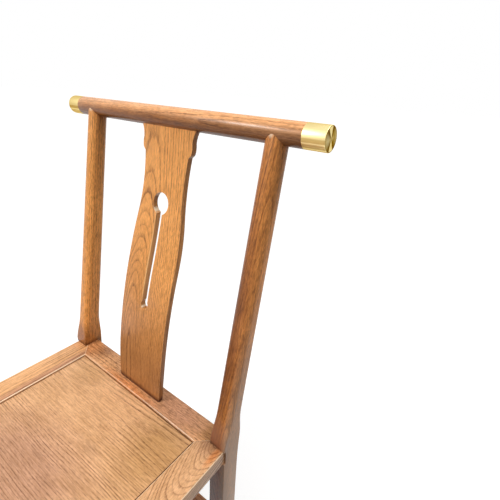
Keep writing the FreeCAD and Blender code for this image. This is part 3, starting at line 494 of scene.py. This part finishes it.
# Painted sheens, mauve and grey, laid over the stain.
MAUVE_PAINTED_SHEEN = colour(168, 118, 92)
GREY_PAINTED_SHEEN = colour(176, 150, 126)
RED_STAIN = colour(255, 241, 230)
POST_FLECK = 0.36
POST_EASE = 0.0005
post_woods = {
    "rear_leg_left": stained_ash(
        "rear_leg_left_ash", (-0.24, 0.11, 0.45), (-0.01, 0.17, 1), POST_GROUND,
        lines=0.5, fleck=POST_FLECK,
        # Darker at its foot, painted contact shade round it on the seat, painted shade below the
        # seat, and a painted highlight where it meets the crest rail.
        patches=[
            ((-0.215, 0.13, 0.46), (0.05, 0.04, 0.06), UMBER_STAIN_AND_SHADE, 0.95),
            ((-0.209, 0.229, 0.964), (0.006, 0.012, 0.008), RUBBED_AND_HIGHLIGHT, 0.7, "MIX"),
            ((-0.205, 0.15, 0.449), (0.1, 0.1, 0.011), DUSK_SHADE_AND_STAIN, 1.0),
            ((-0.205, 0.15, 0.2), (0.1, 0.1, 0.36), DUSK_SHADE_AND_STAIN, 0.95),
        ],
    ),
    "rear_leg_right": stained_ash(
        "rear_leg_right_ash", (0.24, 0.11, 0.45), (0.05, 0.17, 1), POST_GROUND,
        lines=0.8, fleck=POST_FLECK,
        # Darker and redder on its inner side, from stain and painted shade; a painted highlight
        # where it meets the crest rail; at its foot a painted mauve sheen and painted contact
        # shade on the seat; painted shade darkest on its front below the seat, and a painted grey
        # sheen on its outer side there.
        patches=[
            ((0.185, 0.2, 0.65), (0.054, 0.5, 0.6), DUSK_SHADE_AND_STAIN, 1.0),
            ((0.185, 0.2, 0.7), (0.08, 0.5, 0.9), RED_STAIN, 1.0),
            ((0.188, 0.17, 0.60), (0.042, 0.12, 0.38), UMBER_STAIN_AND_SHADE, 1.0),
            ((0.209, 0.229, 0.964), (0.006, 0.012, 0.008), RUBBED_AND_HIGHLIGHT, 0.7, "MIX"),
            ((0.20, 0.13, 0.465), (0.06, 0.025, 0.06), MAUVE_PAINTED_SHEEN, 0.7, "MIX"),
            ((0.19, 0.12, 0.449), (0.034, 0.06, 0.011), DUSK_SHADE_AND_STAIN, 1.0),
            ((0.205, 0.12, 0.2), (0.1, 0.04, 0.36), CHESTNUT_SHADE, 1.0),
            ((0.205, 0.12, 0.2), (0.1, 0.04, 0.36), LINE_STAIN_AND_SHADE, 0.9),
            ((0.2285, 0.15, 0.25), (0.014, 0.2, 0.5), GREY_PAINTED_SHEEN, 0.62, "MIX"),
        ],
    ),
}
for node, ash in post_woods.items():
    finish_wood(eased(node, POST_EASE, f"eased_{node}"), ash)

# Splat: a thin board of ash bent in a shallow S, with a cusped head, a round hole and a slot.
# The hole and slot are pierced square through it, and it is let into the back rail of the seat
# and the crest rail. Its lower half is darker, and painted shade lies on its right-facing edge.
SPLAT_GROUND = colour(246, 170, 92)
SLOT_WALL_PAINTED_LIGHT = colour(250, 196, 130)
SPLAT_EASE = 0.0014
splat = eased("back_splat", SPLAT_EASE, "eased_back_splat")
finish_wood(
    splat,
    stained_ash(
        "splat_ash", (-0.035, 0.13, 0.5), (0.01, 0.1, 1), SPLAT_GROUND, fleck=0.22,
        # Darker towards its foot, painted contact shade in a line along the seat, and painted
        # light inside the slot.
        patches=[
            ((0.0, 0.14, 0.43), (0.4, 0.4, 0.27), DUSK_SHADE_AND_STAIN, 1.0),
            ((0.0, 0.14, 0.449), (0.4, 0.4, 0.013), LINE_STAIN_AND_SHADE, 0.9),
            ((-0.06, 0.2, 0.62), (0.09, 0.2, 0.25), UMBER_STAIN_AND_SHADE, 0.3),
            ((-0.0072, 0.19, 0.715), (0.0035, 0.3, 0.115), SLOT_WALL_PAINTED_LIGHT, 0.8, "MIX"),
        ],
        # Painted shade on its right-facing edge; lighter arrises from painted highlight and worn
        # stain.
        painted_shade_facing=((1, 0, 0), 0.6), rubbed_and_highlit=0.9,
    ),
)

# Crest rail: a straight round bar of ash with a spigot turned on each end for its brass cap.
# Mortises in its underside take the posts and the splat. Painted shade darkens it low on its
# front.
CREST_GROUND = colour(228, 164, 108)
CREST_EASE = 0.0004
crest = eased("crest_rail", CREST_EASE, "turned_crest_rail")
finish_wood(
    crest,
    stained_ash(
        "crest_ash", (0, 0.30, 0.955), (1, 0.01, 0.01), CREST_GROUND,
        ring=0.0034, sway=0.004, fleck=0.3,
        # Painted shade low on its front, stronger to the left, and on faces that look down and
        # forward.
        patches=[((-0.15, 0.228, 0.952), (0.5, 0.02, 0.026), CHESTNUT_SHADE, 1.0)],
        painted_shade_facing=((0, -0.6, -0.8), 1.0),
    ),
)

# Brass caps: two cups turned from brass bar and glued over the spigots of the crest rail.
# The lathe leaves a bevelled rim, a shallow stepped end face and fine rings all over.
CAP_SIDES = 96
CAP_WALL = 0.0012
CAP_END_THICKNESS = 0.002
RIM_BEVEL = 0.0009
RIM_STEPS = 3

# The steps from the rim to the middle of the end: how far each goes in, and how far it rises.
END_STEPS = ((0.0016, -0.00025), (0.0004, 0.0), (0.0052, 0.0), (0.0004, 0.0002), (0.0052, 0.0))
SAME_PLANE = 0.00001

# Brass colours for painted reflections: bright, a dark band, and painted shade.
BRASS_PAINTED_BRIGHT = colour(248, 234, 176)
BRASS_PAINTED_DARK_BAND = colour(190, 160, 100)
BRASS_PAINTED_SHADE = colour(92, 64, 28)
EDGE_BRASS = colour(230, 198, 134)

# The end's painted sheen by how near a spoke is to the bow's direction, and the side's painted
# reflection bands from the cap's lowest line, at nought, to its highest, at one.
BOW_DIRECTION = (0, -0.22, 0.975)
BOW_PAINTED_SHEEN = ((0, 0.5), (0.6, 0.3), (0.86, 0), (0.93, 0.1), (0.97, 1))
SIDE_PAINTED_REFLECTIONS = (
    (0, 0.1), (0.05, 0.3), (0.09, 0.9), (0.13, 0), (0.19, 0.4), (0.24, 0.2),
    (0.3, 0.9), (0.34, 0), (0.46, 0), (0.5, 0.4), (0.75, 0.65),
)
BAND_WAVER = 0.02
BAND_WAVER_CELLS = (60, 200, 200)

# Lathe rings, counted to the metre outwards on the end and along the side.
END_RINGS = 3200
END_RING_CONTRAST = 0.2
SIDE_RING_CELLS = (2600, 30, 30)
RING_RELIEF = 0.25
RING_DEPTH = 0.00004


def select_faces(piece, wanted):
    """Enter edit mode with only those faces selected whose centre and normal are wanted."""
    select_only(piece)
    bpy.ops.object.mode_set(mode="EDIT")
    bpy.ops.mesh.select_mode(type="FACE")
    bpy.ops.mesh.select_all(action="DESELECT")
    bpy.ops.object.mode_set(mode="OBJECT")
    for face in piece.data.polygons:
        face.select = wanted(face.center, face.normal)
    bpy.ops.object.mode_set(mode="EDIT")


def turned_brass(name, axis, radius):
    """Brass turned about X: rings, painted reflection bands, painted sheen wedges and a dark rim.
    """
    material = bpy.data.materials.new(name)
    metal = emptied(material)
    place = metal.node("ShaderNodeTexCoord", {}, {}, "Object")
    spoke = metal.vector("MULTIPLY", metal.vector("SUBTRACT", place, axis), (0, 1, 1))
    out = metal.vector("LENGTH", spoke, output="Value")
    heading = metal.vector("NORMALIZE", spoke)
    on_end = (out / radius).ramp((0.955, 1), (0.975, 0))
    rim = (out / radius).ramp((0.9, 0), (0.93, 0.8), (0.955, 0.8), (0.97, 0))

    # Painted light stands in a bow-tie of two wedges on the end, and in bands along the side.
    bow = metal.vector("DOT_PRODUCT", heading, BOW_DIRECTION, output="Value")
    sheen = metal.maths("ABSOLUTE", bow).ramp(*BOW_PAINTED_SHEEN)
    rings = (out * END_RINGS).unrest()
    contrast = 1 - END_RING_CONTRAST + END_RING_CONTRAST * rings
    end = metal.mix(sheen * contrast, BRASS_PAINTED_SHADE, BRASS_PAINTED_BRIGHT)
    waver = metal.noise(place, BAND_WAVER_CELLS)
    level = heading.along(2) * 0.5 + 0.49 + BAND_WAVER * waver
    side = metal.mix(level.ramp(*SIDE_PAINTED_REFLECTIONS), BRASS_PAINTED_DARK_BAND, BRASS_PAINTED_BRIGHT)
    # A painted dark outline round the end's rim.
    painted_reflections = metal.mix(rim, metal.mix(on_end, side, end), BRASS_PAINTED_SHADE)

    turns = metal.noise(place, SIDE_RING_CELLS, 1.0)
    scratches = metal.mix(on_end, turns, rings)
    relief = {"Strength": RING_RELIEF, "Distance": RING_DEPTH, "Height": scratches}
    surface = metal.node(
        "ShaderNodeBsdfPrincipled", {},
        {
            "Base Color": painted_reflections,
            "Metallic": 1,
            "Specular Tint": EDGE_BRASS,
            "Roughness": 0.42 + 0.06 * turns - 0.14 * on_end,
            "Normal": metal.node("ShaderNodeBump", {}, relief),
        },
    )
    metal.node("ShaderNodeOutputMaterial", {}, {"Surface": surface})
    return material


for node, outward in (("brass_cap_left", -1), ("brass_cap_right", 1)):
    low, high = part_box(node)
    axis = (low + high) / 2
    cap_length = high.x - low.x
    cap_radius = (high.z - low.z) / 2
    end_x = axis.x + outward * cap_length / 2
    bpy.ops.object.select_all(action="DESELECT")
    bpy.ops.mesh.primitive_cylinder_add(
        vertices=CAP_SIDES, radius=cap_radius, depth=cap_length, location=axis,
        rotation=(0, outward * math.pi / 2, 0),
    )
    cap = bpy.context.object
    cap.name = f"turned_{node}"
    bpy.ops.object.transform_apply(location=True, rotation=True, scale=True)

    # The open end is inset to the wall's thickness and bored out to the end's.
    select_faces(cap, lambda centre, normal: normal.x * outward < -0.9)
    bpy.ops.mesh.inset(thickness=CAP_WALL)
    bore = {"value": (outward * (cap_length - CAP_END_THICKNESS), 0, 0)}
    bpy.ops.mesh.extrude_region_move(TRANSFORM_OT_translate=bore)
    bpy.ops.object.mode_set(mode="OBJECT")

    # The closed end gets its bevelled rim, then its shallow steps towards the middle.
    select_faces(cap, lambda centre, normal: abs(centre.x - end_x) < SAME_PLANE)
    bpy.ops.mesh.bevel(offset=RIM_BEVEL, segments=RIM_STEPS)
    bpy.ops.object.mode_set(mode="OBJECT")
    select_faces(cap, lambda centre, normal: abs(centre.x - end_x) < SAME_PLANE)
    for inset, rise in END_STEPS:
        bpy.ops.mesh.inset(thickness=inset)
        bpy.ops.transform.translate(value=(outward * rise, 0, 0))
    bpy.ops.object.mode_set(mode="OBJECT")
    bpy.ops.object.shade_smooth_by_angle(angle=ARRIS_ANGLE)
    cap.data.materials.append(turned_brass(f"{node}_brass", axis, cap_radius))
    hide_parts(node)
    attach(cap, "root")

# Floor: a plain pale sheet that keeps the chair's soft shadow.
# The camera and mirrors see it white; the light that it throws back up is weak.
SHEET_WIDTH = 60
SHEET_SEEN = (0.8, 0.8, 0.8, 1)
SHEET_BOUNCE = (0.08, 0.08, 0.08, 1)
SHEET_GLOW_NEAR = 0.38
SHEET_GLOW_FAR = 0.68
SHEET_FAR = 4.0
WHITE = (1, 1, 1, 1)


def seen_directly(tree):
    """One for rays from the camera, and for those that metal or glass sends on."""
    rays = ("Is Camera Ray", "Is Glossy Ray", "Is Transmission Ray")
    return tree.largest(*[tree.node("ShaderNodeLightPath", {}, {}, ray) for ray in rays])


bpy.ops.object.select_all(action="DESELECT")
bpy.ops.mesh.primitive_plane_add(size=SHEET_WIDTH, location=(0, 0, 0))
floor = bpy.context.object
floor.name = "floor"
floor_paint = bpy.data.materials.new("white_floor")
paint = emptied(floor_paint)
seen = seen_directly(paint)
lit = paint.node("ShaderNodeBsdfDiffuse", {}, {"Color": paint.mix(seen, SHEET_BOUNCE, SHEET_SEEN)})
spot = paint.node("ShaderNodeTexCoord", {}, {}, "Object")
distance = paint.vector("LENGTH", spot, output="Value") / SHEET_FAR
far_glow = seen * distance.ramp((0.2, SHEET_GLOW_NEAR), (1, SHEET_GLOW_FAR))
glow = paint.node("ShaderNodeEmission", {}, {"Color": WHITE, "Strength": far_glow})
sheet = paint.node("ShaderNodeAddShader", {}, {0: lit, 1: glow})
paint.node("ShaderNodeOutputMaterial", {}, {"Surface": sheet})
floor.data.materials.append(floor_paint)

# Light: a soft white dome that is brightest overhead, and two softboxes for the highlights.
# The camera and mirrors see the dome plain white all over.
HORIZON_LIGHT = 0.06
ZENITH_GAIN = 0.68
SEAT_MIDDLE = (0, 0, 0.5)
world = bpy.data.worlds.new("white_studio")
bpy.context.scene.world = world
air = emptied(world)
seen = seen_directly(air)
direction = air.node("ShaderNodeTexCoord", {}, {}, "Generated")
dome = HORIZON_LIGHT + ZENITH_GAIN * air.maths("MAXIMUM", direction.along(2), 0.0)
strength = seen + (1 - seen) * dome
background = air.node("ShaderNodeBackground", {}, {"Color": WHITE, "Strength": strength})
air.node("ShaderNodeOutputWorld", {}, {"Surface": background})


def softbox(name, width, place, watts):
    """A square soft light, turned from its place towards the middle of the chair."""
    lamp = bpy.data.lights.new(name, "AREA")
    lamp.size = width
    lamp.energy = watts
    box = bpy.data.objects.new(name, lamp)
    bpy.context.scene.collection.objects.link(box)
    box.location = place
    aim = Vector(SEAT_MIDDLE) - Vector(place)
    box.rotation_euler = aim.to_track_quat("-Z", "Y").to_euler()


softbox("front_left_softbox", width=0.5, place=(-0.9, -1.6, 2.1), watts=38)
softbox("overhead_softbox", width=0.8, place=(0.9, 0.5, 2.5), watts=24)

# Camera: over the right side of the seat, looking down and across it to the splat and left post.
# Its place, its turn in degrees and its lens were solved from the photograph's perspective.
CAMERA_PLACE = (0.47130, -0.17654, 1.01710)
CAMERA_TURN = (65.0375, -3.1939, 36.4691)
LENS = 25.253
SENSOR_WIDTH = 36
NEAREST_SEEN = 0.02
camera_data = bpy.data.cameras.new("camera")
camera = bpy.data.objects.new("camera", camera_data)
bpy.context.scene.collection.objects.link(camera)
camera.location = CAMERA_PLACE
camera.rotation_euler = [math.radians(angle) for angle in CAMERA_TURN]
camera_data.sensor_width = SENSOR_WIDTH
camera_data.lens = LENS
camera_data.clip_start = NEAREST_SEEN
bpy.context.scene.camera = camera
bpy.context.scene.view_settings.view_transform = "Standard"
